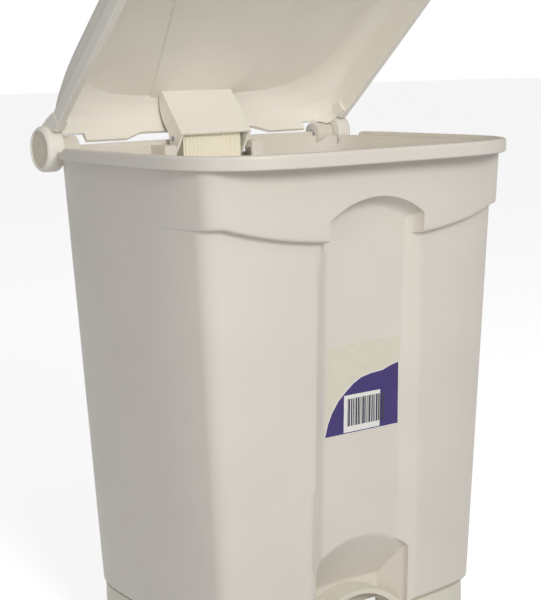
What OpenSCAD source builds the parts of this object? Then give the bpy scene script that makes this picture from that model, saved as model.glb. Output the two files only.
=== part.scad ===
// Pedal bin: a tapered moulded tub on a separate plinth, with a domed lid that
// turns on two rear hinges and is lifted by a pedal, a lever and a push rod.
// X runs across the bin, -Y is the front, Z is up, and the floor is Z = 0.
// The lid stands part open, which is the rest position of every joint.

/* [Rim and tub] */
// Half of the rim's width
rim_half_w = 202; // [200:1:206]
// Distance from the centre to the rim's front
rim_front = 175; // [173:0.5:177]
// Distance from the centre to the rim's rear
rim_rear = 173.3; // [172:0.1:175]
// Height of the rim band's lower edge above the floor
rim_z = 541; // [538:1:545]
// Height of the rim band
rim_h = 14; // [13:0.5:15]
// Bluntness of the rim's front corners: 2 is an ellipse, more is squarer
rim_blunt = 4.1; // [4:0.1:4.6]
// Half width of the tub just under the rim
tub_half_w = 193.8; // [192:0.1:195]
// Distance from the centre to the tub's front, just under the rim
tub_front = 143.2; // [142.5:0.1:144]
// Distance from the centre to the tub's rear, just under the rim
tub_rear = 165.2; // [164:0.1:166]
// Draft of the tub's sides, in mm of width per mm of height
side_draft = 0.055; // [0.05:0.001:0.06]
// Draft of the tub's front
front_draft = 0.043; // [0.04:0.001:0.045]
// Draft of the tub's rear
rear_draft = 0.017; // [0.014:0.001:0.02]
// Wall thickness of the tub
wall = 3; // [2.6:0.1:3.4]
// Height of the seam between tub and plinth
seam_z = 76; // [74:0.5:78]

/* [Front face] */
// Distance from the centre to the front of the raised apron under the rim
apron_front = 153; // [151:0.5:155]
// Height of the apron's lower edge at the middle of the front
apron_low_z = 466; // [463:1:469]
// Height of the apron's lower edge at the corners
apron_corner_z = 486.5; // [484:0.5:489]
// Half width of the arch in the apron
arch_half_w = 58.2; // [57:0.1:59.5]
// Height where the arch springs from its sides
arch_spring_z = 488; // [485:1:491]
// Height of the arch's crown
arch_top_z = 508; // [505:1:511]
// Half width of the upright channel at its top, in the plane of the tub's front
channel_top_w = 63.2; // [62:0.1:64.5]
// Half width of the upright channel at its foot
channel_foot_w = 68.5; // [67:0.5:70]
// Half width of the channel's floor
channel_floor_w = 49; // [48:0.5:50]
// Depth of the upright channel
channel_depth = 10; // [9:0.5:11]
// Height of the toe recess where it meets the channel's sides
toe_spring_z = 138; // [135:1:141]
// Height of the toe recess's crown
toe_top_z = 162.5; // [160:0.5:165]
// Distance from the centre to the back of the toe recess
toe_back_y = 87; // [85:0.5:90]

/* [Lid] */
// Angle by which the lid stands open at rest
lid_open = 40.6; // [38:0.1:43]
// Distance from the centre to the hinge axis
hinge_y = 164; // [163:0.5:165]
// Height of the hinge axis
hinge_z = 550.5; // [549:0.5:552]
// Half width of the lid's lower band
lid_half_w = 193.2; // [192:0.1:194]
// Distance from the centre to the closed lid's front
lid_front = 162.5; // [161:0.5:163]
// Distance from the centre to the closed lid's rear
lid_rear = 161; // [160:0.5:161.5]
// Height of the lid's top above the hinge axis when closed
lid_top = 49.5; // [48:0.5:51]
// Radius of the round hub at each rear corner of the lid
hub_r = 24.2; // [23.5:0.1:24.6]
// Distance from the centre plane to a hub's outer face
hub_x = 200; // [198:0.5:201]

/* [Hood and lifter] */
// Half width of the hood that hides the lifter
hood_half_w = 46; // [44:0.5:48]
// Distance of the hood's plate in front of the hinge axis
hood_t = 33.7; // [32:0.1:35]
// Distance of the lift pin in front of the hinge axis when closed
pin_t = 16; // [15:0.5:17]
// Distance of the lift pin below the hinge axis when closed
pin_drop = 8; // [7:0.5:9]
// Radius of the lift pin
pin_r = 3; // [2.5:0.1:3]
// Half width of the ribbed lifter
lifter_half_w = 38; // [36:0.5:39]

/* [Pedal gear] */
// Distance from the centre to the lever's axle, towards the rear
axle_y = 14; // [12:1:16]
// Height of the lever's axle
axle_z = 44; // [43:0.5:46]
// Radius of the axle
axle_r = 5; // [4.5:0.1:5.5]
// Distance from the centre to the push rod
rod_y = 146; // [145:0.5:147]
// Radius of the push rod
rod_r = 4; // [3.5:0.1:4]
// Half width of the pedal
pedal_half_w = 52; // [48:1:54]
// Distance from the centre to the pedal's front edge
pedal_front = 188.2; // [185:0.1:189]

/* [Hidden] */

$fn = 64;
eps = 0.01;
plan_steps = 96;        // points round each plan outline
fit_gap = 0.05;         // running clearance of shafts in their bores
cream = "#e4e0d2";
cream_dark = "#d8d3c2";
steel = "#b9bcc0";

rim_top_z = rim_z + rim_h;
rim_fall = 0.3;         // slope of the rim's top towards the rear, in degrees
rim_blunt_rear = 5;
rear_rim_z = 553.5;      // the rim is lower behind the lid
ledge_z = 548.5;        // ledge inside the rim that the closed lid rests on
apron_blunt = 5;
apron_run = 165;        // distance from the centre where the apron's edge levels out
tub_blunt_front = 4.6;
tub_blunter = 0.0018;   // the tub's front corners are blunter towards the foot, per mm
toe_half_w = 58;
tub_blunt_rear = 7.5;
lid_blunt = 4.6;
lid_blunt_rear = 12;
floor_t = 4;            // thickness of the tub's floor
duct_half_w = 62;       // inside half width of the rod's channel in the rear wall
duct_y = 136;           // front of that channel
boss_r = 13.1;          // hinge boss of the tub
boss_x = 180.7;         // outer end of the boss
boss_root_x = 158;      // inner end of the boss
hub_inner_x = 181.2;
hub_face_r = 20.8;      // outer face of the hub, inside its rounded edge
hinge_pin_r = 5;
band_h = 16.5;          // lid's lower band
band_t = 8;
shoulder_r = 24.5;      // radius of the lid's rounded shoulder
shoulder_inset = 5.7;   // the shoulder starts this far inside the lower band
lid_wall = 3;
base_inset = 1.8;       // the plinth stands this far inside the tub's foot
base_z = 4;             // underside of the plinth
deck_w = 34;            // width of the plinth's deck
label_half_w = 48;
label_z = 271;
label_h = 92;
label_t = 0.35;
screw_x = 125;
screw_y = 100;
foot_x = 130;
foot_y = 98;
lever_half_w = 12;
lever_t = 6;
lid_travel = 75;        // degrees that the lid turns from closed to fully open

// Height of the lift pin above the hinge axis with the lid open by a
function pin_rise(a) = pin_t * sin(a) - pin_drop * cos(a);

rod_travel = pin_rise(lid_travel) + pin_drop;   // how far the lifter rises in all
slot_h = 2 * pin_r + 3;                         // height of the lifter's slot
slot_z = hinge_z - pin_drop + rod_travel * lid_open / lid_travel + 0.5;

// ---- plan outlines and lofts ----

function blunt(v, n) = sign(v) * pow(abs(v), 2 / n);

// Blunt-cornered outline; front is towards -Y and has its own depth and bluntness
function plan(half_w, front, rear, n_front, n_rear) =
    [for (i = [0 : plan_steps - 1])
        let (a = 360 * (i + 0.5) / plan_steps,
             n = sin(a) < 0 ? n_front : n_rear,
             d = sin(a) < 0 ? front : rear)
        [half_w * blunt(cos(a), n), d * blunt(sin(a), n)]];

// Solid through a stack of outlines; each layer is [z, outline]
module loft(layers) {
    n = plan_steps;
    m = len(layers);
    points = [for (l = layers) for (p = l[1]) [p[0], p[1], l[0]]];
    sides = [for (j = [0 : m - 2]) for (i = [0 : n - 1])
        let (a = j * n + i, b = j * n + (i + 1) % n)
        each [[a, a + n, b + n], [a, b + n, b]]];
    bottom = [for (i = [0 : n - 1]) i];
    top = [for (i = [n - 1 : -1 : 0]) (m - 1) * n + i];
    polyhedron(points = points, faces = concat(sides, [bottom, top]), convexity = 8);
}

function tub_plan(z, inset) =
    let (d = rim_z - z)
    plan(tub_half_w - side_draft * d - inset, tub_front - front_draft * d - inset,
         tub_rear - rear_draft * d - inset, tub_blunt_front + tub_blunter * d, tub_blunt_rear);

function apron_plan(z, inset) =
    let (d = rim_z - z)
    plan(tub_half_w - side_draft * d - inset, apron_front - front_draft * d - inset,
         tub_rear - rear_draft * d - inset - eps, apron_blunt, tub_blunt_rear);

function rim_plan(inset) =
    plan(rim_half_w - inset, rim_front - inset, rim_rear - inset, rim_blunt, rim_blunt_rear);

function lid_plan(inset, rear, blunt_rear) =
    plan(lid_half_w - inset, lid_front - inset, rear, lid_blunt, blunt_rear);

module x_rod(r, x0, x1) {
    translate([x0, 0, 0]) rotate([0, 90, 0]) cylinder(r = r, h = x1 - x0);
}

module at_hinge() {
    translate([0, hinge_y, hinge_z]) children();
}

// Puts a part modelled on the closed lid, about the hinge axis, where the open lid is
module on_lid() {
    at_hinge() rotate([-lid_open, 0, 0]) children();
}

// ---- tub ----

// Front view of an opening with an arched head, in X and Z
module arched_outline(half_w, low_z, spring_z, top_z) {
    rise = top_z - spring_z;
    r = (half_w * half_w + rise * rise) / (2 * rise);
    intersection() {
        translate([-half_w, low_z]) square([2 * half_w, top_z - low_z]);
        union() {
            translate([-half_w, low_z]) square([2 * half_w, spring_z - low_z]);
            translate([0, top_z - r]) circle(r = r, $fn = 160);
        }
    }
}

// Extrudes an X-Z outline along Y, from the front plane y0 to y1
module along_y(y0, y1) {
    translate([0, y1, 0]) rotate([90, 0, 0]) linear_extrude(height = y1 - y0) children();
}

// Leans an upright shape back with the draft of the tub's front
module with_front_draft() {
    multmatrix([[1, 0, 0, 0], [0, 1, -front_draft, front_draft * rim_z], [0, 0, 1, 0]]) children();
}

// Front view of the channel, wider at its foot
module channel_outline(g) {
    polygon([[-channel_foot_w - g, toe_spring_z - 60], [channel_foot_w + g, toe_spring_z - 60],
             [channel_foot_w + g, toe_spring_z], [channel_top_w + g, apron_low_z + 3],
             [-channel_top_w - g, apron_low_z + 3], [-channel_foot_w - g, toe_spring_z]]);
}

// The upright channel and the toe recess, grown by g to make the wall behind them
module front_recess(g) {
    floor_y = -tub_front + channel_depth;
    with_front_draft() {
        // through the apron, narrowing to the channel's floor
        hull() {
            along_y(-260, -apron_front + 1)
                arched_outline(arch_half_w + g, 400, arch_spring_z + g, arch_top_z + g);
            along_y(floor_y - 1 + g, floor_y + g)
                arched_outline(channel_floor_w + g, 400, arch_spring_z - 8 + g, arch_top_z - 12 + g);
        }
        // down the tub's front, with sloping sides
        along_y(-260, -tub_front + 0.5) channel_outline(g);
        hull() {
            along_y(-tub_front - 0.5, -tub_front + 0.5) channel_outline(g);
            along_y(floor_y - 1 + g, floor_y + g)
                translate([-channel_floor_w - g, toe_spring_z - 56])
                    square([2 * (channel_floor_w + g), apron_low_z + 66 - toe_spring_z]);
        }
    }
    // back to the toe recess
    hull() {
        with_front_draft() along_y(-260, floor_y)
            arched_outline(toe_half_w + g, 20, toe_spring_z + g, toe_top_z + g);
        along_y(-toe_back_y - 3, -toe_back_y + g)
            translate([-toe_half_w - g, 20]) square([2 * (toe_half_w + g), 82 + g]);
    }
}

module tub_skin(inset) {
    loft([[seam_z, tub_plan(seam_z, inset + 5)],
          [seam_z + 2, tub_plan(seam_z + 2, inset + 2)],
          [seam_z + 6, tub_plan(seam_z + 6, inset)],
          [rim_z + 2, tub_plan(rim_z + 2, inset)]]);
}

// Height of the apron's sagging lower edge at distance x from the centre
function apron_edge(x) =
    apron_low_z + (apron_corner_z - apron_low_z) * pow(min(1, abs(x) / apron_run), 2.5);

// Everything above the apron's lower edge, less g
module apron_zone(g) {
    along_y(-260, 30)
        polygon(concat([for (x = [-260, each [-165 : 15 : 165], 260]) [x, apron_edge(x) + g]],
                       [[260, 600], [-260, 600]]));
}

module apron(inset) {
    intersection() {
        loft([[apron_low_z - 10, apron_plan(apron_low_z - 10, inset)],
              [rim_z + 2, apron_plan(rim_z + 2, inset)]]);
        apron_zone(inset);
    }
}

module rim_band() {
    difference() {
        loft([[rim_z, rim_plan(1)],
              [rim_z + 2, rim_plan(0)],
              [rim_top_z - 3, rim_plan(0)],
              [rim_top_z, rim_plan(2.5)]]);
        // underside of the flange
        difference() {
            translate([0, 0, -eps])
                loft([[rim_z, rim_plan(wall)], [rim_z + 4, rim_plan(wall)]]);
            loft([[rim_z - 1, tub_plan(rim_z, 0)], [rim_z + 5, tub_plan(rim_z, 0)]]);
            loft([[rim_z - 1, apron_plan(rim_z, 0)], [rim_z + 5, apron_plan(rim_z, 0)]]);
        }
    }
}

// Space that the closed lid takes above the ledge
module lid_seat() {
    seat_gap = 2.3;
    seat = lid_plan(-seat_gap, lid_rear + seat_gap, lid_blunt_rear);
    loft([[ledge_z, seat], [rim_top_z + 10, seat]]);
    translate([-260, hinge_y - 20, rear_rim_z]) cube([520, 60, 30]);
}

module rod_duct(g, top) {
    translate([-duct_half_w - g, duct_y - g, 10])
        cube([2 * (duct_half_w + g), 100, top - 10]);
}

module tub_cavity() {
    difference() {
        union() {
            loft([[seam_z + floor_t, tub_plan(seam_z + floor_t, wall + 2)],
                  [seam_z + floor_t + 5, tub_plan(seam_z + floor_t + 5, wall)],
                  [rim_z - 1, tub_plan(rim_z - 1, wall)],
                  [rim_top_z + 10, tub_plan(rim_z, wall)]]);
            apron(wall);
        }
        front_recess(wall);
        rod_duct(wall, ledge_z);
    }
}

// Strips beside the rod's channel that the rear cover is screwed to
module cover_ledges() {
    intersection() {
        difference() {
            tub_skin(2.5);
            tub_skin(5.5);
        }
        for (side = [-1, 1])
            translate([side * (duct_half_w - 5) - 6, duct_y + 8, seam_z + 8])
                cube([12, 60, rim_z - seam_z - 14]);
    }
}

// Web under each hinge boss, out from the tub's rear corner
module boss_webs() {
    for (side = [-1, 1])
        sided(side) along_y(hinge_y - 9, hinge_y - 3)
            polygon([[boss_root_x - 22, rim_z + 2], [boss_x - 1, rim_z + 2], [boss_x - 3, rim_z - 4],
                     [boss_root_x + 2, rim_z - 32], [boss_root_x - 22, rim_z - 44]]);
}

module bin_body() {
    color(cream)
    difference() {
        union() {
            tub_skin(0);
            apron(0);
            rim_band();
            boss_webs();
        }
        front_recess(0);
        tub_cavity();
        difference() {
            rod_duct(0, rim_z);
            cover_ledges();
        }
        lid_seat();
        // the rim's top falls gently towards the rear
        translate([-260, -rim_front, rim_top_z]) rotate([-rim_fall, 0, 0]) cube([520, 400, 30]);
        // notch that the hood's arms swing through
        translate([-hood_half_w - 4, duct_y - 20, rim_z - 29])
            cube([2 * (hood_half_w + 4), 44.5, 60]);
        for (side = [-1, 1]) {
            at_hinge() mirror([side < 0 ? 1 : 0, 0, 0]) {
                x_rod(boss_r, boss_root_x, boss_x + 10);
                x_rod(hub_r + 1.6, hub_inner_x - 2, hub_x + 20);
            }
        }
        for (x = [-screw_x, screw_x], y = [-screw_y, screw_y])
            translate([x, y, seam_z - 1]) cylinder(r = 2, h = 4);
    }
}

module rear_cover() {
    color(cream)
    intersection() {
        difference() {
            tub_skin(0);
            tub_skin(2.5);
        }
        translate([-duct_half_w + 0.6, 100, seam_z + 8])
            cube([2 * duct_half_w - 1.2, 100, rim_z - seam_z - 14]);
    }
}

module cover_screws() {
    color(cream_dark)
    for (x = [-duct_half_w + 8, duct_half_w - 8], z = [seam_z + 24, rim_z - 24])
        translate([x, tub_rear - rear_draft * (rim_z - z) - 1, z]) rotate([-90, 0, 0])
            cylinder(r = 4, h = 2.6);
}

// ---- plinth ----

function base_plan(inset) = tub_plan(seam_z + 6, inset + base_inset);

module base_block(inset, z0, z1) {
    loft([[z0, base_plan(inset)], [z1, base_plan(inset)]]);
}

// Arched hood over the pedal opening; the outline grows by g
module pedal_arch(g, y0, y1) {
    along_y(y0, y1)
        arched_outline(arch_half_w - 1 + g, base_z - 1, seam_z - 2 + g, seam_z + 25 + g);
}

module base() {
    color(cream_dark)
    difference() {
        union() {
            difference() {
                union() {
                    base_block(0, base_z, seam_z);
                    pedal_arch(0, -112, -toe_back_y - 0.6);
                }
                // hollow under the deck, and the hole through the deck
                base_block(wall, base_z - 1, seam_z - wall);
                base_block(deck_w, base_z, seam_z + 1);
            }
            // returns beside the pedal opening and the arched hood between them
            intersection() {
                translate([-arch_half_w - 4, -140, base_z])
                    cube([2 * arch_half_w + 8, 64, seam_z - base_z]);
                base_block(0, base_z, seam_z);
            }
            pedal_arch(0, -112, -toe_back_y - 0.6);
            // two long ribs and a cross rib tie the walls together
            for (x = [-1, 1])
                translate([x * 40 - 3, -80, base_z]) cube([6, 234, 16]);
            translate([-arch_half_w - 3, -82, base_z]) cube([2 * arch_half_w + 6, 6, 8]);
            // brackets that carry the axle
            for (x = [-1, 1])
                translate([x * 40 - 3, axle_y, 0])
                    rotate([90, 0, 90]) linear_extrude(height = 6)
                        polygon([[-26, base_z], [26, base_z], [11, axle_z + 8], [6, axle_z + 13],
                                 [-6, axle_z + 13], [-11, axle_z + 8]]);
            // pads for the feet
            intersection() {
                base_block(1, base_z, base_z + 4);
                for (side = [-1, 1], y = [-foot_y, foot_y])
                    sided(side) translate([foot_x - 24, y - 24, base_z]) cube([80, 48, 4]);
            }
        }
        // pedal opening, front to back, with the lip's height left in the arch
        pedal_arch(-5, -260, -82);
        along_y(-90, -70)
            arched_outline(arch_half_w - 6, base_z + 8, seam_z - 7, seam_z + 20);
        along_y(-260, -112) arched_outline(arch_half_w + 2, base_z - 1, 200, 220);
        // the rod passes the deck and the rear wall's flange
        translate([-18, rod_y - 14, seam_z - 20]) cube([36, 20.5, 30]);
        translate([0, axle_y, axle_z]) x_rod(axle_r + 3, -60, 60);
        for (x = [-screw_x, screw_x], y = [-screw_y, screw_y])
            translate([x, y, seam_z - 10]) cylinder(r = 2.4, h = 20);
        for (x = [-foot_x, foot_x], y = [-foot_y, foot_y])
            translate([x, y, 0]) cylinder(r = 3, h = 20);
    }
}

module base_screws() {
    color(steel)
    for (x = [-screw_x, screw_x], y = [-screw_y, screw_y])
        translate([x, y, seam_z - wall - 3]) {
            cylinder(r = 4, h = 3);
            cylinder(r = 1.95, h = 8);
        }
}

module rubber_feet() {
    color("#3a3a3c")
    for (x = [-foot_x, foot_x], y = [-foot_y, foot_y])
        translate([x, y, 0]) {
            cylinder(r = 12, h = base_z);
            cylinder(r = 2.9, h = base_z + 6);
        }
}

// ---- hinges ----

// Right-hand piece as drawn, left-hand piece mirrored
module sided(side) {
    mirror([side < 0 ? 1 : 0, 0, 0]) children();
}

module hinge_boss(side) {
    color(cream)
    sided(side) at_hinge() difference() {
        x_rod(boss_r, boss_root_x, boss_x);
        x_rod(hinge_pin_r, boss_root_x - 1, boss_x + 1);
    }
}

module hinge_pin(side) {
    color(steel)
    sided(side) at_hinge() x_rod(hinge_pin_r, boss_root_x + 1, hub_x - 4);
}

module lid_hub(side) {
    color(cream)
    on_lid() sided(side) difference() {
        union() {
            x_rod(hub_r, hub_inner_x, hub_x - 3.5);
            translate([hub_x - 3.5, 0, 0]) rotate([0, 90, 0])
                cylinder(r1 = hub_r, r2 = hub_face_r, h = 3.5);
        }
        x_rod(hinge_pin_r + fit_gap, hub_inner_x - 1, hub_x + 1);
        x_rod(hub_face_r - 2, hub_x - 2.5, hub_x + 1);
    }
}

module hub_cap(side) {
    color(cream_dark)
    on_lid() sided(side) x_rod(hub_face_r - 2.05, hub_x - 2.5, hub_x - 0.8);
}

// ---- lid, drawn closed about the hinge axis ----

// Distance in front of the hinge axis of the lid's rear at height z above the axis
function rear_t(z) =
    lookup(z, [[band_h, hinge_y - lid_rear], [25, 6], [33.5, 9], [42, 14], [lid_top, 22]]);

// The lid's rear corners are rounder towards its top
function rear_blunt(z) = lookup(z, [[band_h, lid_blunt_rear], [25, 9], [33.5, 6], [lid_top, 4]]);

// Outline of the lid at height z, set in from its widest; t is the rear wall's thickness
function lid_layer(z, inset, t) =
    [z, lid_plan(inset, hinge_y - rear_t(z) - t, rear_blunt(z))];

// Rounded shoulder from the side up to the flat top, set in by t
function shoulder(t) =
    [for (a = [0 : 15 : 90])
        let (z = lid_top - shoulder_r + shoulder_r * sin(a),
             inset = shoulder_inset + shoulder_r * (1 - cos(a)) + t * cos(a))
        [z - t * sin(a), lid_plan(inset, hinge_y - rear_t(z) - t, rear_blunt(z))]];

module lid_outer() {
    translate([0, -hinge_y, 0])
        loft(concat([lid_layer(-1, 0.8, 0), lid_layer(0.5, 0, 0),
                     lid_layer(band_h - 2, 0, 0), lid_layer(band_h, 2.6, 0)],
                    shoulder(0)));
}

module lid_inner() {
    translate([0, -hinge_y, 0])
        loft(concat([lid_layer(-2, band_t, lid_wall + 1), lid_layer(band_h, band_t, lid_wall + 1)],
                    shoulder(lid_wall)));
}

// Webs that carry the hubs on the ends of the lid's sides
module hub_webs() {
    for (side = [-1, 1])
        sided(side) translate([hub_inner_x, 0, 0]) rotate([90, 0, 90])
            linear_extrude(height = lid_half_w - hub_inner_x)
                polygon([[-4, 22], [-12, 21.6], [-26, 19.6], [-42, 15], [-42, 0.5], [-16, -0.5]]);
}

// Rear edge of the lid: clear of the rim, stepped up beside the hood
module rear_edge_cut() {
    y_cut = -30;
    rear_edge = 3.4;
    translate([0, 20, 0]) rotate([90, 0, 0]) linear_extrude(height = 20 - y_cut)
        polygon([[-200, -5], [200, -5], [200, rear_edge], [95, rear_edge], [75, 11],
                 [-75, 11], [-95, rear_edge], [-200, rear_edge]]);
}

module lid_shell() {
    color(cream)
    on_lid() difference() {
        union() {
            difference() {
                lid_outer();
                lid_inner();
            }
            hub_webs();
        }
        rear_edge_cut();
        for (side = [-1, 1]) sided(side) {
            x_rod(boss_r + 1.5, 145, hub_inner_x);
            x_rod(hub_r, hub_inner_x - eps, hub_x + 20);
        }
    }
}

// ---- hood, pin and lifter ----

module lid_hood() {
    plate_t = 2.5;
    hood_top = lid_top - lid_wall - fit_gap;
    arm_x = hood_half_w - 3;
    color(cream)
    on_lid() difference() {
        union() {
            translate([-hood_half_w, -hood_t, -15.3])
                cube([2 * hood_half_w, plate_t, hood_top + 15.3]);
            for (x = [-hood_half_w, arm_x])
                translate([x, 0, 0]) rotate([90, 0, 90]) linear_extrude(height = 3)
                    polygon([[-hood_t, -15.3], [-hood_t + 12, -19], [-6, -22.7], [-2.6, -22.7],
                             [-2.6, -15], [-13, 2], [-13, 22], [-18, 36],
                             [-27, hood_top], [-hood_t, hood_top]]);
        }
        translate([0, -pin_t, -pin_drop]) x_rod(pin_r, -60, 60);
    }
}

module lift_pin() {
    color(steel)
    on_lid() translate([0, -pin_t, -pin_drop])
        x_rod(pin_r, -hood_half_w - 0.5, hood_half_w + 0.5);
}

module lifter() {
    y0 = duct_y + 1.4;
    y1 = duct_y + 22;
    slot_y0 = hinge_y - norm([pin_t, pin_drop]) - pin_r - 1;
    color("#e6e0c4")
    difference() {
        union() {
            translate([-lifter_half_w, y0 + 1, slot_z - 56])
                cube([2 * lifter_half_w, y1 - y0 - 1, 56 + slot_h / 2 + 3]);
            // upright ribs on the front face
            for (x = [-1, 1], i = [0 : 4])
                translate([x * (lifter_half_w - 3.5 - 5.2 * i) - 1.2, y0, slot_z - 54])
                    cube([2.4, 3, 54 + slot_h / 2 + 1]);
        }
        translate([-60, slot_y0, slot_z - slot_h / 2]) cube([120, y1 - slot_y0 - 2.4, slot_h]);
        // hollow back, open below
        translate([-lifter_half_w + 3, y0 + 4.4, slot_z - 60])
            cube([2 * lifter_half_w - 6, 30, 46]);
    }
    color("#e6e0c4") translate([0, rod_y, slot_z - 56])
        difference() {
            cylinder(r = 7.4, h = 42.5);
            translate([0, 0, -1]) cylinder(r = rod_r, h = 38);
        }
}

// ---- rod and pedal gear ----

module push_rod() {
    color(steel)
    translate([0, rod_y, axle_z + 10]) cylinder(r = rod_r, h = slot_z - 19 - axle_z - 10);
}

module rod_foot() {
    color(steel)
    difference() {
        translate([-6, rod_y - 6.5, axle_z - 9]) cube([12, 12, 30]);
        translate([0, rod_y, axle_z]) x_rod(4.1, -10, 10);
        translate([0, rod_y, axle_z + 10]) cylinder(r = rod_r, h = 30);
    }
}

module rod_guides() {
    color(cream_dark)
    for (z = [180, 400])
        difference() {
            translate([-24, duct_y, z]) cube([48, 18, 14]);
            translate([0, rod_y, z - 1]) cylinder(r = rod_r + fit_gap, h = 16);
        }
}

module pedal_lever() {
    color(steel)
    difference() {
        union() {
            translate([-lever_half_w, -pedal_front + 26, axle_z - lever_t / 2])
                cube([2 * lever_half_w, pedal_front - 26 + rod_y - 20, lever_t]);
            translate([0, axle_y, axle_z]) x_rod(9, -lever_half_w - 14, lever_half_w + 14);
            // fork round the rod's foot
            for (x = [-lever_half_w - 0.5, 6.5 + 1])
                translate([x, rod_y - 28, axle_z - 6]) cube([5, 33.5, 12]);
        }
        translate([0, axle_y, axle_z]) x_rod(axle_r, -60, 60);
        translate([0, rod_y, axle_z]) x_rod(3, -60, 60);
        translate([0, -pedal_front + 40, axle_z - 10]) cylinder(r = 2.5, h = 20);
        translate([0, -pedal_front + 66, axle_z - 10]) cylinder(r = 2.5, h = 20);
    }
}

// Plan of the pedal: straight sides and a bowed front
module pedal_outline(g) {
    intersection() {
        translate([-pedal_half_w + g, -pedal_front + g])
            square([2 * (pedal_half_w - g), pedal_front - 118 - 2 * g]);
        translate([0, -pedal_front + 90]) circle(r = 90 - g, $fn = 128);
        translate([0, -pedal_front + 55]) circle(r = 68 - g, $fn = 128);
    }
}

module pedal() {
    top = axle_z + lever_t / 2 + 4;
    color(cream)
    difference() {
        translate([0, 0, top - 15]) linear_extrude(height = 15) pedal_outline(0);
        translate([0, 0, top - 16]) linear_extrude(height = 12) pedal_outline(3);
        translate([-lever_half_w - 1, -140, top - 16]) cube([2 * lever_half_w + 2, 60, 12]);
        translate([0, -pedal_front + 40, 0]) cylinder(r = 2.5, h = 100);
        translate([0, -pedal_front + 66, 0]) cylinder(r = 2.5, h = 100);
        // grip grooves across the tread
        for (i = [0 : 5])
            translate([-36, -pedal_front + 12 + 9 * i, top - 1]) cube([72, 3, 2]);
    }
}

module pedal_screws() {
    color(steel)
    for (y = [40, 66])
        translate([0, -pedal_front + y, axle_z - lever_t / 2 - 3]) {
            cylinder(r = 4.5, h = 3);
            cylinder(r = 2.4, h = lever_t + 3 + 2.5);
        }
}

module lever_axle() {
    color(steel)
    translate([0, axle_y, axle_z]) x_rod(axle_r, -50, 50);
}

module axle_bushes() {
    color("#55565a")
    translate([0, axle_y, axle_z])
        for (side = [-1, 1]) sided(side) difference() {
            union() {
                x_rod(axle_r + 3, 37, 43);
                x_rod(axle_r + 5, 35, 37);
            }
            x_rod(axle_r + fit_gap, 30, 50);
        }
}

module axle_clips() {
    color(steel)
    translate([0, axle_y, axle_z])
        for (side = [-1, 1]) sided(side) difference() {
            x_rod(axle_r + 4, 45, 46.2);
            x_rod(axle_r, 44, 48);
        }
}

module clevis_pin() {
    color(steel)
    translate([0, rod_y, axle_z]) {
        x_rod(3, -16, 15);
        x_rod(5, -18, -16);
    }
}

module clevis_clips() {
    color(steel)
    translate([0, rod_y, axle_z]) difference() {
        x_rod(5.5, 13, 14);
        x_rod(3, 12, 15);
    }
}

module front_label() {
    color("#45308a")
    with_front_draft()
        translate([-label_half_w, channel_depth - tub_front - label_t, label_z])
            cube([2 * label_half_w, label_t, label_h]);
}

bin_body();
rear_cover();
cover_screws();
base();
base_screws();
rubber_feet();
hinge_boss(-1);  // left_hinge_boss
hinge_boss(1);  // right_hinge_boss
hinge_pin(-1);  // left_hinge_pin
hinge_pin(1);  // right_hinge_pin
lid_shell();
lid_hub(-1);  // left_lid_hub
lid_hub(1);  // right_lid_hub
hub_cap(-1);  // left_hub_cap
hub_cap(1);  // right_hub_cap
lid_hood();
lift_pin();
lifter();
push_rod();
rod_foot();
rod_guides();
pedal();
pedal_screws();
pedal_lever();
lever_axle();
axle_bushes();
axle_clips();
clevis_pin();
clevis_clips();
front_label();
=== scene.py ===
"""Looks for the pedal bin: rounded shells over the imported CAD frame, materials, light and camera.

Shapes are written in millimetres in the CAD frame and become metres in make_mesh().
Lid pieces are drawn closed about the hinge axis, then turned to the rest angle.
"""

import math

import bmesh
import bpy
from mathutils import Matrix, Vector


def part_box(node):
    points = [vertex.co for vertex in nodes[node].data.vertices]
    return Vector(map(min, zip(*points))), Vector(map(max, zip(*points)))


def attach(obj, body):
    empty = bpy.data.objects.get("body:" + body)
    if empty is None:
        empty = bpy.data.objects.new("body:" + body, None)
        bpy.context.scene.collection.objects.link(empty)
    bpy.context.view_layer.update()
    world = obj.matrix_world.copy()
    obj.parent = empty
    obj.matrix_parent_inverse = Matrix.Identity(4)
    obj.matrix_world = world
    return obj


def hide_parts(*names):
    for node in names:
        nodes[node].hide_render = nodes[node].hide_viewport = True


MM = 0.001

# the tub and rim, from the CAD part
RIM_Z = 541
RIM_H = 14
RIM_HALF_W = 202
RIM_FRONT = 175
RIM_REAR = 173.3
RIM_FALL = math.tan(math.radians(0.3))
TUB_HALF_W = 193.8
TUB_REAR = 165.2
REAR_BLUNT = 7.5
FRONT_DRAFT = 0.043
SIDE_DRAFT = 0.055
REAR_DRAFT = 0.017
TUB_FRONT = 143.2
APRON_FRONT = 153
SEAM_Z = 76
WALL = 3
CHANNEL_DEPTH = 10
CHANNEL_FLOOR_W = 49  # half the width of the upright channel's floor
AHEAD = -260  # y of a place well in front of the tub
LEDGE_Z = 548.5
HINGE = Vector((0, 164, 550.5))
LID_OPEN = 40.6
LID_TOP = 49.5
DUCT_HALF_W = 62
DUCT_Y = 136
HUB_INNER_X = 181.2
HUB_X = 200
BOSS_R = 13.1
QUARTER_STEPS = 60  # points in a quarter of each plan outline
TURN_WEIGHT = 60  # extra points round the corners of an outline

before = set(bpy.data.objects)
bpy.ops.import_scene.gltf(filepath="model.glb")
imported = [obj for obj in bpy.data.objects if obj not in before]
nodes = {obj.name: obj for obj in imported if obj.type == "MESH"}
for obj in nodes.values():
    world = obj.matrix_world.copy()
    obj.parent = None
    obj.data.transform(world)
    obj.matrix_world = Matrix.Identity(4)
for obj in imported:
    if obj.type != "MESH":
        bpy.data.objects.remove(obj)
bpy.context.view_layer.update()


# ---- mesh building ----


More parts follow.
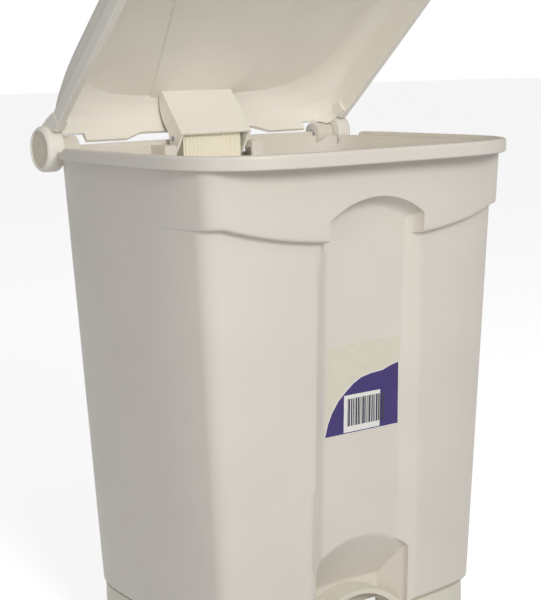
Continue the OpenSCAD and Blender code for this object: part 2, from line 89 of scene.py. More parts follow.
def make_mesh(name, points, faces):
    mesh = bpy.data.meshes.new(name)
    mesh.from_pydata([Vector(p) * MM for p in points], [], faces)
    mesh.update()
    obj = bpy.data.objects.new(name, mesh)
    bpy.context.scene.collection.objects.link(obj)
    return obj


def loft(name, rings):
    """Closed solid through rings of (x, y, z) points, each anticlockwise from above, lowest first."""
    count = len(rings[0])
    points = [p for ring in rings for p in ring]
    faces = []
    for j in range(len(rings) - 1):
        for i in range(count):
            k = (i + 1) % count
            faces.append((j * count + i, j * count + k, (j + 1) * count + k, (j + 1) * count + i))
    faces.append(tuple(reversed(range(count))))
    faces.append(tuple((len(rings) - 1) * count + i for i in range(count)))
    return make_mesh(name, points, faces)


def prism(name, outline, place, low, high):
    """Solid between two copies of an outline; place(a, b, c) turns its plane and depth into x, y, z."""
    rings = [[place(a, b, c) for a, b in outline] for c in (low, high)]
    obj = loft(name, rings)
    return outward(obj)


def signed_volume(obj):
    total = 0
    for face in obj.data.polygons:
        corners = [obj.data.vertices[i].co for i in face.vertices]
        for b, c in zip(corners[1:], corners[2:]):
            total += corners[0].dot(b.cross(c))
    return total


def outward(obj):
    """Turns the faces of an inside-out solid round."""
    if signed_volume(obj) < 0:
        obj.data.flip_normals()
    return obj


def across_x(a, b, c):
    return (c, a, b)


def along_y(a, b, c):
    return (a, c, b)


def upright(a, b, c):
    return (a, b, c)


def box(name, low, high):
    outline = [(low[0], low[1]), (high[0], low[1]), (high[0], high[1]), (low[0], high[1])]
    return prism(name, outline, upright, low[2], high[2])


def turned(name, profile, centre, steps=96):
    """Solid turned about an X axis through centre, from a profile of (x, radius) pairs."""
    rings = []
    for x, radius in profile:
        ring = []
        for i in range(steps):
            a = 2 * math.pi * i / steps
            ring.append((x, centre[1] + radius * math.cos(a), centre[2] + radius * math.sin(a)))
        rings.append(ring)
    obj = loft(name, rings)
    return outward(obj)


def settle(obj):
    """Turns an object's modifiers into mesh."""
    graph = bpy.context.evaluated_depsgraph_get()
    mesh = bpy.data.meshes.new_from_object(obj.evaluated_get(graph))
    old = obj.data
    obj.modifiers.clear()
    obj.data = mesh
    bpy.data.meshes.remove(old)


def combine(obj, other, operation, folded=False):
    step = obj.modifiers.new("combine", "BOOLEAN")
    step.operation = operation
    step.solver = "EXACT"
    step.use_self = folded
    step.object = other
    settle(obj)
    old = other.data
    bpy.data.objects.remove(other)
    bpy.data.meshes.remove(old)
    return obj


def cut(obj, other):
    return combine(obj, other, "DIFFERENCE")


def add(obj, other):
    return combine(obj, other, "UNION")


def weld(obj, gap):
    """Joins points closer than gap and closes any hole of up to four edges."""
    mesh = bmesh.new()
    mesh.from_mesh(obj.data)
    bmesh.ops.remove_doubles(mesh, verts=mesh.verts, dist=gap * MM)
    bmesh.ops.dissolve_degenerate(mesh, edges=mesh.edges, dist=gap * MM)
    open_edges = [edge for edge in mesh.edges if edge.is_boundary]
    bmesh.ops.holes_fill(mesh, edges=open_edges, sides=4)
    mesh.to_mesh(obj.data)
    mesh.free()


def round_edges(obj, width, angle=32, segments=3):
    bevel = obj.modifiers.new("round", "BEVEL")
    bevel.width = width * MM
    bevel.segments = segments
    bevel.limit_method = "ANGLE"
    bevel.angle_limit = math.radians(angle)
    bevel.miter_outer = "MITER_ARC"
    settle(obj)
    return obj


def smooth(obj, sharp=40):
    obj.data.shade_smooth()
    obj.data.set_sharp_from_angle(angle=math.radians(sharp))
    weighted = obj.modifiers.new("normals", "WEIGHTED_NORMAL")
    weighted.keep_sharp = True
    weighted.weight = 60


def open_lid(obj):
    """Turns a piece drawn closed about the hinge axis to the lid's rest angle."""
    turn = Matrix.Rotation(math.radians(-LID_OPEN), 4, "X")
    place = Matrix.Translation(HINGE * MM) @ turn
    obj.data.transform(place)
    obj.data.update()


# ---- plan outlines ----


def blunt(value, n):
    return math.copysign(abs(value) ** (2 / n), value)


def resample(path):
    """Points along a quarter of an outline, closer together where it turns."""
    runs = [0]
    heading = path[1] - path[0]
    for a, b in zip(path, path[1:]):
        turn = heading.angle(b - a, 0)
        heading = b - a
        runs.append(runs[-1] + heading.length + TURN_WEIGHT * turn)
    points = []
    j = 0
    for i in range(QUARTER_STEPS):
        target = runs[-1] * i / QUARTER_STEPS
        while runs[j + 1] < target:
            j += 1
        part = (target - runs[j]) / (runs[j + 1] - runs[j])
        points.append(path[j].lerp(path[j + 1], part))
    return points


def quarter(half_w, depth, n, start):
    """A quarter of a blunt-cornered outline, from the angle start onwards."""
    dense = 600
    path = []
    for i in range(dense + 1):
        a = math.radians(start + 90 * i / dense)
        path.append(Vector((half_w * blunt(math.cos(a), n), depth * blunt(math.sin(a), n))))
    return resample(path)


def plan(half_w, front, rear, n_front, n_rear):
    points = []
    for start in (0, 90, 180, 270):
        is_rear = start < 180
        points += quarter(half_w, rear if is_rear else front, n_rear if is_rear else n_front, start)
    return points


def bowed_corner(half_w, depth, side_bow, face_bow, radius):
    """Path from (half_w, 0) to (0, depth): bowed side, round corner, bowed face."""
    a = half_w - radius
    b = depth - radius
    corner = Vector((a - side_bow, b - face_bow))
    for _ in range(20):
        corner = Vector((a - side_bow * (corner.y / b) ** 3, b - face_bow * (corner.x / a) ** 3))
    path = []
    steps = 60
    for i in range(steps + 1):
        y = corner.y * i / steps
        out = Vector((1, 3 * side_bow * y ** 2 / b ** 3)).normalized()
        path.append(Vector((a - side_bow * (y / b) ** 3, y)) + radius * out)
    side_turn = math.atan2(out.y, out.x)
    out = Vector((3 * face_bow * corner.x ** 2 / a ** 3, 1)).normalized()
    face_turn = math.atan2(out.y, out.x)
    for i in range(1, steps):
        turn = side_turn + (face_turn - side_turn) * i / steps
        path.append(corner + radius * Vector((math.cos(turn), math.sin(turn))))
    for i in range(steps + 1):
        x = corner.x * (1 - i / steps)
        out = Vector((3 * face_bow * x ** 2 / a ** 3, 1)).normalized()
        path.append(Vector((x, b - face_bow * (x / a) ** 3)) + radius * out)
    return path


def wall_plan(z, inset, front):
    """Outline of the tub's wall: blunt rear corners, and a bowed front with rounded corners."""
    d = RIM_Z - z
    half_w = TUB_HALF_W - SIDE_DRAFT * d - inset
    rear = TUB_REAR - REAR_DRAFT * d - inset
    corner = bowed_corner(half_w, front - FRONT_DRAFT * d - inset, 12.3 - 0.0075 * d,
                          18.4 - 0.011 * d, 25 - 0.011 * d - inset)
    left_front = [Vector((-p.x, -p.y)) for p in corner]
    right_front = [Vector((p.x, -p.y)) for p in reversed(corner)]
    return (quarter(half_w, rear, REAR_BLUNT, 0) + quarter(half_w, rear, REAR_BLUNT, 90)
            + resample(left_front) + resample(right_front))


def tub_plan(z, inset=0):
    return wall_plan(z, inset, TUB_FRONT)


def apron_plan(z, inset=0):
    return wall_plan(z, inset, APRON_FRONT)


def rim_plan(inset):
    return plan(RIM_HALF_W - inset, RIM_FRONT - inset, RIM_REAR - inset, 4.1, 5)


def lid_plan(inset, rear, n_rear):
    return plan(193.2 - inset, 162.5 - inset, rear, 4.6, n_rear)


def flat_ring(outline, z):
    return [(p.x, p.y, z) for p in outline]


def apron_edge(x):
    """Height of the apron's sagging lower edge."""
    return 466 + 20.5 * min(1, abs(x) / 165) ** 2.5


class Skin:
    """A wall surface that gives the point of outline number i at any height."""

    def __init__(self, outline_at, inset, low, high, levels=7):
        self.low = low
        self.step = (high - low) / (levels - 1)
        self.outlines = [outline_at(low + self.step * i, inset) for i in range(levels)]

    def point(self, i, z):
        level = (z - self.low) / self.step
        j = max(0, min(int(level), len(self.outlines) - 2))
        return self.outlines[j][i].lerp(self.outlines[j + 1][i], level - j)


def wall_rings(inset, edge_shift, low):
    """Rings up one face of the tub's wall, with the apron's rounded lower edge."""
    tub = Skin(tub_plan, inset, low, RIM_Z)
    apron = Skin(apron_plan, inset, low, RIM_Z)
    count = 4 * QUARTER_STEPS
    rings = []
    foot = 4
    for part in [i / 8 for i in range(9)]:
        ring = []
        for i in range(count):
            top = apron_edge(tub.outlines[-1][i].x) + edge_shift - foot
            z = low + (top - low) * part
            p = tub.point(i, z)
            ring.append((p.x, p.y, z))
        rings.append(ring)
    # hollow fillet at the root, then the bullnose
    for out, rise in ((0.03, -1.4), (0.12, -0.4), (0.35, 0), (0.6, 0.15), (0.78, 0.6), (0.9, 1.5),
                      (0.97, 2.8), (1, 4.8), (1, 8)):
        ring = []
        for i in range(count):
            z = apron_edge(tub.outlines[-1][i].x) + edge_shift + rise
            p = tub.point(i, z).lerp(apron.point(i, z), out)
            ring.append((p.x, p.y, z))
        rings.append(ring)
    return rings


def rim_ring(inset, z):
    """Ring of the rim band, kept outside the tub's blunter rear corners; the top falls to the rear."""
    ring = []
    clear = 3.4 - 0.4 * inset
    for p in rim_plan(inset):
        across = abs(p.x) / (TUB_HALF_W + clear)
        along = abs(p.y) / (TUB_REAR + clear)
        reach = across ** REAR_BLUNT + along ** REAR_BLUNT
        if p.y > 0 and reach < 1:
            p = p * reach ** (-1 / REAR_BLUNT)
        share = (RIM_H - RIM_FALL * (p.y + RIM_FRONT)) / RIM_H
        ring.append((p.x, p.y, RIM_Z + (z - RIM_Z) * share))
    return ring


def tub_solid():
    rings = []
    for a in range(0, 90, 15):
        turn = math.radians(a)
        z = SEAM_Z + 6 * (1 - math.cos(turn))
        rings.append(flat_ring(tub_plan(z, 5 * (1 - math.sin(turn))), z))
    rings += wall_rings(0, 0, SEAM_Z + 6)
    # up into the flange, out, and round its lip
    under = RIM_Z + 4
    rings.append(flat_ring(apron_plan(RIM_Z, 0), under - 1.5))
    rings.append(flat_ring(apron_plan(RIM_Z, -0.5), under - 0.4))
    rings.append(flat_ring(apron_plan(RIM_Z, -1.6), under))
    for inset, z in ((4, under), (3.2, under - 0.4), (3, RIM_Z + 1), (2.4, RIM_Z + 0.2), (1.6, RIM_Z),
                     (0.7, RIM_Z + 0.4), (0.2, RIM_Z + 1.1), (0, RIM_Z + 2.2), (0, RIM_Z + 10.6),
                     (0.25, RIM_Z + 12), (0.9, RIM_Z + 13.2), (1.8, RIM_Z + 13.8), (3, RIM_Z + RIM_H)):
        rings.append(rim_ring(inset, z))
    return loft("bin_shell", rings)


def cavity_solid():
    floor_z = SEAM_Z + 4
    rings = []
    for a in range(0, 90, 15):
        turn = math.radians(a)
        z = floor_z + 7 * (1 - math.cos(turn))
        rings.append(flat_ring(tub_plan(z, WALL + 7 * (1 - math.sin(turn))), z))
    rings += wall_rings(WALL, WALL, floor_z + 7)
    inner = apron_plan(RIM_Z, WALL)
    rings.append(flat_ring(inner, LEDGE_Z - 1))
    seat = lid_plan(-2.3, 163.3, 12)
    rings.append(flat_ring([a.lerp(b, 0.15) for a, b in zip(inner, seat)], LEDGE_Z))
    rings.append(flat_ring(seat, LEDGE_Z + 0.01))
    rings.append(flat_ring(seat, RIM_Z + RIM_H + 10))
    return loft("cavity", rings)


# ---- the recesses in the tub's front ----


def arched(half_w, low, spring, top, steps=48):
    """X-Z outline with an arched head."""
    rise = max(top - spring, 0.01)
    radius = (half_w ** 2 + rise ** 2) / (2 * rise)
    half = math.asin(min(1, half_w / radius))
    points = [(-half_w, low), (half_w, low)]
    for i in range(steps + 1):
        a = half - 2 * half * i / steps
        points.append((radius * math.sin(a), top - radius + radius * math.cos(a)))
    return points


def lean(obj):
    """Leans a front recess back with the draft of the tub's front."""
    for v in obj.data.vertices:
        v.co.y += FRONT_DRAFT * (RIM_Z * MM - v.co.z)
    return obj


def arch_cutter(grow):
    """Recess through the apron; its sides sweep into the channel's floor."""
    floor = CHANNEL_DEPTH - TUB_FRONT + grow
    rings = []
    start = -APRON_FRONT + 1
    depths = [(AHEAD, 0), (start, 0)]
    for a in range(10, 100, 10):
        turn = math.radians(a)
        depths.append((start + (floor - start) * math.sin(turn), 1 - math.cos(turn)))
    for y, s in depths:
        half = 58.2 + grow - 9.2 * s
        outline = arched(half, 455 + 3 * s, 488 + grow - 8 * s, 508 + grow - 12 * s)
        rings.append([(x, y, z) for x, z in outline])
    obj = loft("arch", rings)
    return outward(obj)


def channel_cutter(grow):
    """Upright channel, wider at its foot, with sloping sides and a small fillet at the floor."""
    floor = CHANNEL_DEPTH - TUB_FRONT + grow
    rings = []
    for z, half in ((78, 68.5), (138, 68.5), (467, 63.2)):
        half += grow
        inner = CHANNEL_FLOOR_W + grow
        side = [(half, AHEAD), (half, -TUB_FRONT)]
        slope = (half - inner) / CHANNEL_DEPTH
        for back, share in ((2.2, 0), (1, 0.15), (0.3, 0.45), (0, 1)):
            side.append((inner + slope * back - 3 * share, floor - back))
        outline = side + [(-x, y) for x, y in reversed(side)]
        rings.append([(x, y, z) for x, y in outline])
    obj = loft("channel", rings)
    return outward(obj)


def toe_cutter(grow):
    """Toe recess over the pedal: an arched opening that narrows and whose roof falls to the rear."""
    rings = []
    half = 60 + grow
    floor = CHANNEL_DEPTH - TUB_FRONT
    spring = 138 + grow
    top = 162.5 + grow
    low_roof = 102 + grow
    back = -87 + grow
    for y, s in ((AHEAD, 0), (floor, 0), (floor, 0.08), (floor, 0.5), (floor, 0.92), (floor, 1)):
        outline = arched(half - 15 * s, 20, spring + (low_roof - spring) * s,
                         top + (low_roof + 0.1 - top) * s)
        ring = []
        for x, z in outline:
            front = y + FRONT_DRAFT * (RIM_Z - z)
            ring.append((x, y if y == AHEAD else front + (back - front) * s, z))
        rings.append(ring)
    obj = loft("toe", rings)
    return outward(obj)


def front_recess(obj, grow):
    cut(obj, lean(add(arch_cutter(grow), channel_cutter(grow))))
    cut(obj, toe_cutter(grow))


def bin_shell():
    cavity = cavity_solid()
    front_recess(cavity, WALL)
    duct = DUCT_HALF_W + WALL
    cut(cavity, box("duct", (-duct, DUCT_Y - WALL, 10), (duct, 236, LEDGE_Z)))
    shell = tub_solid()
    for side in (-1, 1):
        web = [(136, 543), (179.7, 543), (177.7, 537), (160, 509), (136, 497)]
        add(shell, prism("web", [(side * x, z) for x, z in web], along_y, 155, 161))
    combine(shell, cavity, "DIFFERENCE", folded=True)
    front_recess(shell, 0)
    cut(shell, box("duct", (-DUCT_HALF_W, DUCT_Y, 10), (DUCT_HALF_W, 236, RIM_Z)))
    cut(shell, box("notch", (-50, DUCT_Y - 20, RIM_Z - 29), (50, DUCT_Y + 24.5, RIM_Z + 31)))
    for side in (-1, 1):
        for radius, low, high in ((BOSS_R + 0.05, 158, 190.7), (25.8, HUB_INNER_X - 2, 220)):
            cut(shell, turned("hinge_cut", [(side * low, radius), (side * high, radius)], HINGE))
    weld(shell, 0.02)
    smooth(shell)
    return shell


# ---- lid ----


def rear_run(z, table):
    """Straight-line lookup in (height, value) pairs."""
    if z <= table[0][0]:
        return table[0][1]
    for (z0, v0), (z1, v1) in zip(table, table[1:]):
        if z <= z1:
            return v0 + (v1 - v0) * (z - z0) / (z1 - z0)
    return table[-1][1]


def rear_t(z):
    return rear_run(z, [(16.5, 3), (25, 6), (33.5, 9), (42, 14), (49.5, 22)])


def rear_blunt(z):
    return rear_run(z, [(16.5, 12), (25, 9), (33.5, 6), (49.5, 4)])


def lid_ring(z, inset, thick=0, drop=0):
    outline = lid_plan(inset, HINGE.y - rear_t(z) - thick, rear_blunt(z))
    return [(p.x, p.y - HINGE.y, z - drop) for p in outline]


def shoulder(thick):
    rings = []
    for a in range(0, 91, 6):
        turn = math.radians(a)
        z = LID_TOP - 24.5 + 24.5 * math.sin(turn)
        inset = 5.7 + 24.5 * (1 - math.cos(turn)) + thick * math.cos(turn)
        rings.append(lid_ring(z, inset, thick, thick * math.sin(turn)))
    return rings


def panel_strip():
    """Panel down the middle of the lid's roof, wider towards the front, with sloping flanks."""
    low = LID_TOP - WALL - 1.8
    rings = []
    for y, half in ((-312, 121), (-8, 51)):
        rings.append([(-half, y, low), (half, y, low), (half + 5, y, LID_TOP), (-half - 5, y, LID_TOP)])
    obj = loft("strip", rings)
    return outward(obj)


def lid_shell():
    outer = []
    for z, inset in ((-1, 1.6), (-0.7, 0.8), (0.1, 0.2), (1.2, 0), (13, 0), (14.6, 0.3), (15.8, 1.2),
                     (16.5, 2.6), (17.6, 4), (19.5, 4.9)):
        outer.append(lid_ring(z, inset))
    shell = loft("lid_shell_outer", outer + shoulder(0))
    inner = [lid_ring(-2, 7.4, 4), lid_ring(0.5, 8, 4), lid_ring(14.5, 8.2, 4), lid_ring(17.5, 9, 4)]
    hollow = loft("lid_hollow", inner + shoulder(WALL)[1:])
    # the roof's middle panel stands proud below
    cut(hollow, panel_strip())
    cut(shell, hollow)
    for side in (-1, 1):
        web = [(-4, 22), (-12, 21.6), (-26, 19.6), (-42, 15), (-42, 0.5), (-16, -0.5)]
        add(shell, prism("web", web, across_x, side * HUB_INNER_X, side * 193.2))
    edge = [(-200, -5), (200, -5), (200, 3.4), (95, 3.4), (75, 11), (-75, 11), (-95, 3.4), (-200, 3.4)]
    cut(shell, prism("rear_edge", edge, along_y, -30, 20))
    for side in (-1, 1):
        for radius, low, high in ((BOSS_R + 1.5, 145, HUB_INNER_X), (24.2, HUB_INNER_X - 0.01, 220)):
            cut(shell, turned("hub_cut", [(side * low, radius), (side * high, radius)], (0, 0, 0)))
    round_edges(shell, 0.9)
    smooth(shell)
    open_lid(shell)
    return shell


def lid_hub(side):
    profile = [(HUB_INNER_X, 6), (HUB_INNER_X, 22.8), (181.8, 23.8), (182.8, 24.2), (194.5, 24.2),
               (196.2, 23.9), (197.6, 23.2), (198.8, 22.2), (199.6, 21.2), (199.95, 20.4), (HUB_X, 19.8),
               (199.8, 19.1), (199.2, 18.7), (197.4, 18.5), (197.4, 6)]
    hub = turned("hub", [(side * x, r) for x, r in profile], (0, 0, 0))
    cut(hub, turned("bore", [(side * 180, 5.05), (side * 201, 5.05)], (0, 0, 0)))
    smooth(hub)
    open_lid(hub)
    return hub


def hub_cap(side):
    profile = [(197.4, 0.5), (197.4, 18.2), (198.4, 18.2), (198.7, 17.9), (198.75, 17), (198.5, 12),
               (198.3, 7.5), (198.6, 6.9), (199, 6.4), (199.1, 5.4), (199.1, 0.5)]
    cap = turned("cap", [(side * x, r) for x, r in profile], (0, 0, 0))
    smooth(cap, 60)
    open_lid(cap)
    return cap


def hinge_boss(side):
    profile = [(158, 5), (158, 12.2), (158.4, 12.9), (159.2, 13.1), (179.4, 13.1), (180.3, 12.8),
               (180.7, 12.1), (180.7, 5)]
    boss = turned("boss", [(side * x, r) for x, r in profile], HINGE)
    cut(boss, turned("bore", [(side * 157, 5), (side * 182, 5)], HINGE))
    smooth(boss)
    return boss


# ---- hood and lifter ----


def lid_hood():
    top = LID_TOP - WALL - 0.05
    hood = box("hood", (-46, -33.7, -15.3), (46, -31.2, top))
    arm = [(-33.6, -15.3), (-21.7, -19), (-6, -22.7), (-2.6, -22.7), (-2.6, -15), (-13, 2), (-13, 22),
           (-18, 36), (-27, top - 0.02), (-33.6, top - 0.02)]
    for low in (-45.98, 42.98):
        add(hood, prism("arm", arm, across_x, low, low + 3))
    cut(hood, turned("pin_hole", [(-60, 3), (60, 3)], (0, -16, -8)))
    round_edges(hood, 0.9)
    smooth(hood)
    open_lid(hood)
    return hood


def lifter():
    lo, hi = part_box("lifter")
    lo = lo / MM
    hi = hi / MM
    front = DUCT_Y + 1.4
    body = box("lifter", (-38, front + 1, lo.z), (38, DUCT_Y + 22, hi.z))
    for side in (-1, 1):
        for i in range(5):
            x = side * (34.5 - 5.2 * i)
            add(body, box("rib", (x - 1.2, front, lo.z + 2), (x + 1.2, front + 3, hi.z - 1)))
    slot_h = 9
    slot_y = HINGE.y - math.hypot(16, 8) - 4
    cut(body, box("slot", (-60, slot_y, hi.z - 3 - slot_h), (60, DUCT_Y + 19.6, hi.z - 3)))
    cut(body, box("hollow", (-35, front + 4.4, lo.z - 4), (35, front + 34.4, lo.z + 42)))
    add(body, turned_z("socket", [(lo.z, 7.4), (lo.z + 42.5, 7.4)], (0, 146)))
    cut(body, turned_z("bore", [(lo.z - 1, 4), (lo.z + 37, 4)], (0, 146)))
    round_edges(body, 0.5, segments=2)
    smooth(body)
    return body


def turned_z(name, profile, centre, steps=48):
    """Solid turned about an upright axis, from a profile of (z, radius) pairs."""
    rings = []
    for z, radius in profile:
        ring = []
        for i in range(steps):
            a = 2 * math.pi * i / steps
            ring.append((centre[0] + radius * math.cos(a), centre[1] + radius * math.sin(a), z))
        rings.append(ring)
    return loft(name, rings)


# ---- materials ----


def noise(tree, scale, detail=4, coord=None):
    tex = tree.nodes.new("ShaderNodeTexNoise")
    tex.inputs["Scale"].default_value = scale
    tex.inputs["Detail"].default_value = detail
    tree.links.new(coord, tex.inputs["Vector"])
    return tex.outputs["Fac"]


def ramp(tree, value, stops):
    node = tree.nodes.new("ShaderNodeValToRGB")
    elements = node.color_ramp.elements
    for i, (place, colour) in enumerate(stops):
        element = elements[i] if i < 2 else elements.new(place)
        element.position = place
        element.color = (*colour, 1)
    tree.links.new(value, node.inputs["Fac"])
    return node.outputs["Color"]


def spread(tree, value, low, high):
    node = tree.nodes.new("ShaderNodeMapRange")
    node.inputs["From Min"].default_value = 0.3
    node.inputs["From Max"].default_value = 0.7
    node.inputs["To Min"].default_value = low
    node.inputs["To Max"].default_value = high
    tree.links.new(value, node.inputs["Value"])
    return node.outputs["Result"]


def base_material(name):
    material = bpy.data.materials.new(name)
    material.use_nodes = True
    tree = material.node_tree
    shader = tree.nodes["Principled BSDF"]
    coord = tree.nodes.new("ShaderNodeTexCoord").outputs["Object"]
    return material, tree, shader, coord


def bumped(tree, shader, height, strength, distance):
    bump = tree.nodes.new("ShaderNodeBump")
    bump.inputs["Strength"].default_value = strength
    bump.inputs["Distance"].default_value = distance
    tree.links.new(height, bump.inputs["Height"])
    tree.links.new(bump.outputs["Normal"], shader.inputs["Normal"])


def shade(colour, factor):
    return tuple(c * factor for c in colour)


def plastic(name, colour, roughness=0.42, grain=0.35):
    """Moulded plastic: faint clouding, a fine pebbled skin and slightly uneven gloss."""
    material, tree, shader, coord = base_material(name)
    clouds = noise(tree, 9, 3, coord)
    tone = ramp(tree, clouds, [(0.3, shade(colour, 0.965)), (0.7, shade(colour, 1.02))])
    tree.links.new(tone, shader.inputs["Base Color"])
    gloss = spread(tree, noise(tree, 55, 5, coord), roughness - 0.06, roughness + 0.06)
    tree.links.new(gloss, shader.inputs["Roughness"])
    bumped(tree, shader, noise(tree, 900, 2, coord), grain, 0.00012)
    shader.inputs["IOR"].default_value = 1.49
    return material


def metal(name, colour, roughness):
    """Plated steel with fine drawn streaks and dull patches."""
    material, tree, shader, coord = base_material(name)
    stretch = tree.nodes.new("ShaderNodeMapping")
    stretch.inputs["Scale"].default_value = (20, 400, 400)
    tree.links.new(coord, stretch.inputs["Vector"])
    streaks = noise(tree, 3, 6, stretch.outputs["Vector"])
    tone = ramp(tree, streaks, [(0.3, shade(colour, 0.8)), (0.7, colour)])
    tree.links.new(tone, shader.inputs["Base Color"])
    tree.links.new(spread(tree, noise(tree, 60, 4, coord), roughness - 0.1, roughness + 0.1),
                   shader.inputs["Roughness"])
    bumped(tree, shader, streaks, 0.2, 0.0001)
    shader.inputs["Metallic"].default_value = 1
    return material


def rubber(name, colour):
    """Soft dull rubber with dusty patches."""
    material, tree, shader, coord = base_material(name)
    dust = noise(tree, 70, 6, coord)
    tone = ramp(tree, dust, [(0.35, colour), (0.75, shade(colour, 2.2))])
    tree.links.new(tone, shader.inputs["Base Color"])
    tree.links.new(spread(tree, dust, 0.7, 0.9), shader.inputs["Roughness"])
    bumped(tree, shader, noise(tree, 600, 3, coord), 0.5, 0.0002)
    return material


def film(name, colour, roughness=0.3):
    """Thin printed film: nearly flat colour with faint mottling and soft wrinkles."""
    material, tree, shader, coord = base_material(name)
    tone = ramp(tree, noise(tree, 120, 4, coord), [(0.3, shade(colour, 0.94)), (0.7, colour)])
    tree.links.new(tone, shader.inputs["Base Color"])
    tree.links.new(spread(tree, noise(tree, 40, 3, coord), roughness - 0.05, roughness + 0.08),
                   shader.inputs["Roughness"])
    bumped(tree, shader, noise(tree, 45, 2, coord), 0.1, 0.0001)
    return material


def srgb(text):
    """Linear colour from a hex code."""
    values = [int(text[i:i + 2], 16) / 255 for i in (0, 2, 4)]
    return tuple(v / 12.92 if v <= 0.04045 else ((v + 0.055) / 1.055) ** 2.4 for v in values)


def dress(obj, material):
    if obj.data.materials:
        for i in range(len(obj.data.materials)):
            obj.data.materials[i] = material
    else:
        obj.data.materials.append(material)


cream = plastic("cream_plastic", srgb("e2dcd2"))
# painted light: the lid, its hood and its hubs get a lighter cream than the tub's, standing in for light
# that reaches the lid's underside
cream_lid_painted_light = plastic("lid_plastic", srgb("f1ede3"), 0.4)
cream_dark = plastic("plinth_plastic", srgb("e0dccd"), 0.45)
# the lifter's own ivory colour, made lighter as painted light for the dim inside of the tub
ivory_painted_light = plastic("lifter_plastic", srgb("f1ebd6"), 0.38)
tan = plastic("cap_plastic", srgb("dcd2c0"), 0.5)
bush = plastic("bush_plastic", srgb("55565a"), 0.5)
steel = metal("plated_steel", srgb("b9bcc0"), 0.32)
black_rubber = rubber("black_rubber", srgb("2c2c2e"))


# ---- label ----


def label_point(x, z, rise):
    """A point on the channel's floor plane, standing out by rise."""
    return (x, CHANNEL_DEPTH - TUB_FRONT + FRONT_DRAFT * (RIM_Z - z) - rise, z)


def label_piece(name, outline, low, high, material):
    piece = prism(name, outline, label_point, low, high)
    dress(piece, material)
    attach(piece, "bin")
    return piece


def label():
    clear_film = film("label_film", srgb("e3ddcc"), 0.3)
    purple = film("label_purple", srgb("2c126c"), 0.3)
    white = film("label_white", srgb("f2f1ec"), 0.35)
    dark = film("label_dark", srgb("2b2440"), 0.4)
    sheet = label_piece("label_sheet", [(-48, 271), (48, 271), (48, 363), (-48, 363)], 0.02, 0.1,
                        clear_film)
    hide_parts("front_label")
    swoosh = [(-47, 272), (46, 272), (45, 336), (35, 334), (24.9, 330.5), (11, 329.5), (-2.8, 327),
              (-12.5, 322), (-21.8, 314.9), (-31, 306.5), (-38.6, 295.8), (-43.5, 285)]
    middle = Vector((8, 296))
    edge = []
    for x, z in swoosh:
        out = Vector((x, z)) - middle
        edge.append(Vector((x, z)) + out.normalized())
    label_piece("label_edge", edge, 0.1, 0.13, white)
    label_piece("label_swoosh", swoosh, 0.13, 0.17, purple)
    label_piece("label_box", [(-24, 273), (22, 273), (22, 311), (-24, 311)], 0.17, 0.21, white)
    x = -19.5
    bars = 22
    for i in range(bars):
        width = 0.6 + 0.55 * (i * 7 % 4)
        bar = [(x, 279), (x + width, 279), (x + width, 307), (x, 307)]
        label_piece(f"label_bar_{i}", bar, 0.21, 0.24, dark)
        x += width + 0.45 + 0.3 * (i * 5 % 3)


# ---- the object ----


def place(obj, name, body, stands_for, material, slot):
    obj.name = name
    dress(obj, material)
    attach(obj, body)
    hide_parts(*stands_for)


place(bin_shell(), "bin_shell_moulded", "bin", ["bin_body"], cream, "tub_plastic")
place(lid_shell(), "lid_shell_moulded", "lid", ["lid_shell"], cream_lid_painted_light, "lid_plastic")
place(lid_hood(), "lid_hood_moulded", "lid", ["lid_hood"], cream_lid_painted_light, "lid_plastic")
place(lifter(), "lifter_moulded", "rod", ["lifter"], ivory_painted_light, "clip_plastic")
for side, word in ((-1, "left"), (1, "right")):
    place(lid_hub(side), f"{word}_hub_moulded", "lid", [f"{word}_lid_hub"], cream_lid_painted_light, "lid_plastic")
    place(hub_cap(side), f"{word}_cap_moulded", "lid", [f"{word}_hub_cap"], tan, "lid_plastic")
    place(hinge_boss(side), f"{word}_boss_moulded", "bin", [f"{word}_hinge_boss"], cream, "tub_plastic")
label()

finishes = {
    "rear_cover": cream, "base": cream_dark, "rubber_feet": black_rubber,
    "rod_guides": cream_dark, "pedal": cream, "axle_bushes": bush,
}
for node_name, node in nodes.items():
    if not node.hide_render:
        dress(node, finishes.get(node_name, steel))


# ---- floor, light and camera ----


def floor():
    half = 30000
    obj = make_mesh("floor", [(-half, -half, -0.5), (half, -half, -0.5), (half, half, -0.5),
                              (-half, half, -0.5)], [(0, 1, 2, 3)])
    material, _, shader, _ = base_material("floor_paint")
    shader.inputs["Base Color"].default_value = (0.92, 0.92, 0.92, 1)
    shader.inputs["Roughness"].default_value = 0.9
    shader.inputs["Emission Color"].default_value = (1, 1, 1, 1)
    shader.inputs["Emission Strength"].default_value = 0.6
    dress(obj, material)
    obj.visible_diffuse = False


def area_light(name, place, target, size, power, colour=(1, 1, 1)):
    data = bpy.data.lights.new(name, "AREA")
    data.shape = "DISK"
    data.size = size
    data.energy = power
    data.color = colour
    obj = bpy.data.objects.new(name, data)
    obj.location = place
    obj.rotation_mode = "QUATERNION"
    obj.rotation_quaternion = (Vector(target) - Vector(place)).to_track_quat("-Z", "Y")
    bpy.context.scene.collection.objects.link(obj)


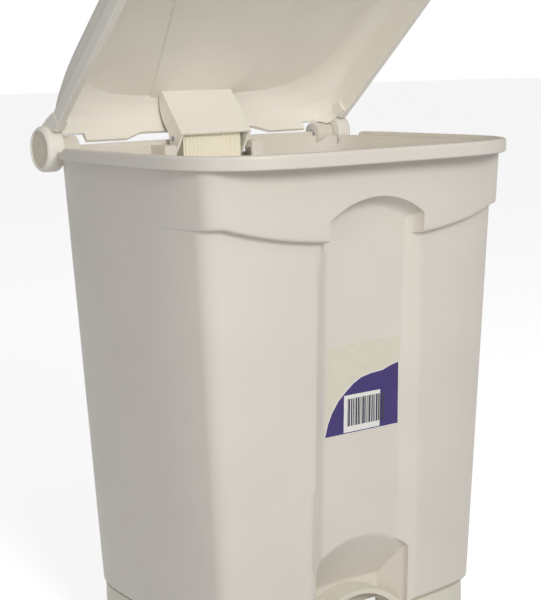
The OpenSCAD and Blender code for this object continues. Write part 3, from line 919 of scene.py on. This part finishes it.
def lights():
    world = bpy.data.worlds.new("studio")
    world.use_nodes = True
    tree = world.node_tree
    background = tree.nodes["Background"]
    background.inputs["Color"].default_value = (1, 1, 1, 1)
    seen = tree.nodes.new("ShaderNodeLightPath").outputs["Is Camera Ray"]
    strength = tree.nodes.new("ShaderNodeMapRange")
    strength.inputs["To Min"].default_value = 0.34
    strength.inputs["To Max"].default_value = 1
    tree.links.new(seen, strength.inputs["Value"])
    tree.links.new(strength.outputs["Result"], background.inputs["Strength"])
    bpy.context.scene.world = world
    bpy.context.scene.view_settings.view_transform = "Standard"
    middle = (0, 0, 0.4)
    area_light("key", around(-12, 26), middle, 0.9, 31, (1, 0.98, 0.955))
    area_light("top", around(0, 50), middle, 0.9, 4, (1, 0.98, 0.955))
    area_light("left_fill", around(-65, 8), middle, 0.9, 7, (1, 0.975, 0.95))
    # stands in for the light that the white walls pass through to the inside
    area_light("inside", (0, 0.02, 0.42), (0, 0.03, 1), 0.2, 0.125, (1, 0.98, 0.95))


def around(azimuth, height):
    """A place for a light: azimuth runs from the front towards the right, height above the middle."""
    reach = 2.6
    a = math.radians(azimuth)
    h = math.radians(height)
    return (reach * math.sin(a) * math.cos(h), -reach * math.cos(a) * math.cos(h),
            0.4 + reach * math.sin(h))


def camera():
    data = bpy.data.cameras.new("camera")
    data.lens = 83.98
    data.sensor_width = 36
    data.clip_end = 50
    obj = bpy.data.objects.new("camera", data)
    heading = math.radians(35.21)
    pitch = math.radians(9.654)
    roll = math.radians(1.202)
    ahead = Vector((math.sin(heading) * math.cos(pitch), math.cos(heading) * math.cos(pitch),
                    -math.sin(pitch)))
    right = Vector((math.cos(heading), -math.sin(heading), 0))
    down = ahead.cross(right)
    rolled_right = math.cos(roll) * right + math.sin(roll) * down
    rolled_down = -math.sin(roll) * right + math.cos(roll) * down
    turn = Matrix((rolled_right, -rolled_down, -ahead)).transposed().to_4x4()
    turn.translation = (-0.85359, -1.17713, 0.63605)
    obj.matrix_world = turn
    bpy.context.scene.collection.objects.link(obj)
    bpy.context.scene.camera = obj


floor()
lights()
camera()
